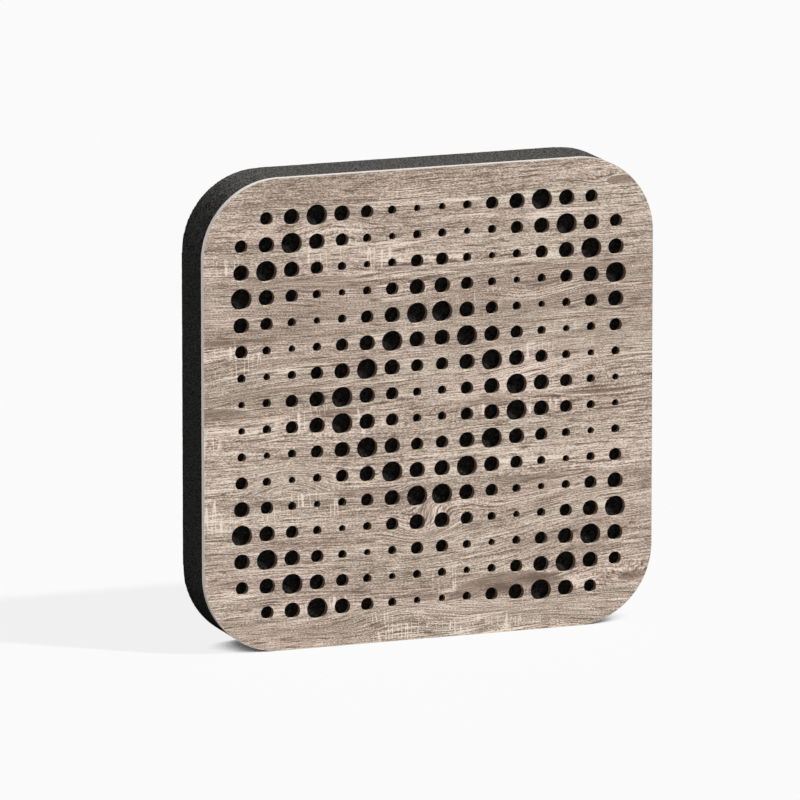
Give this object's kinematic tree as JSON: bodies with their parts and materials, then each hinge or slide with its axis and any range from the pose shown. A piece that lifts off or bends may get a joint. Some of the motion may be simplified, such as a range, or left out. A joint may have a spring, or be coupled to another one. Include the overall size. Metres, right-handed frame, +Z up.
{
  "type": "perforated acoustic panel",
  "caption": "Square wall panel with rounded corners: perforated oak-decor board with a pale edge on a thick black foam absorber, with a plywood hanger rail and keyhole plates behind.",
  "frame": {"origin": "under the middle of the panel, on the surface that its lower edge stands on, halfway through its depth", "axes": "+Z up, the decor face looks along -Y and the wall side along +Y, +X to the right as seen from the front"},
  "size_m": [0.6, 0.082, 0.6],
  "materials": {
    "oak_decor": "matt sawn oak plank decor, melamine laminate with an open grain",
    "fibreboard": "raw drilled fibreboard",
    "balancing_paper": "matt balancing laminate",
    "edge_band": "satin pale edge band",
    "fleece": "black non-woven fleece",
    "foam": "black open-cell foam, cut faces",
    "plywood": "sanded birch plywood",
    "zinc_steel": "bright zinc plate, satin",
    "screw_steel": "bright zinc plate"
  },
  "bodies": {
    "root": {"front_decor_laminate": "oak_decor", "board_core": "fibreboard", "balancing_laminate": "balancing_paper", "edge_band": "edge_band", "acoustic_fleece": "fleece", "foam_absorber": "foam", "hanger_rail": "plywood", "keyhole_plate_left": "zinc_steel", "keyhole_plate_right": "zinc_steel", "keyhole_plate_screws": "screw_steel"}
  },
  "joints": []
}
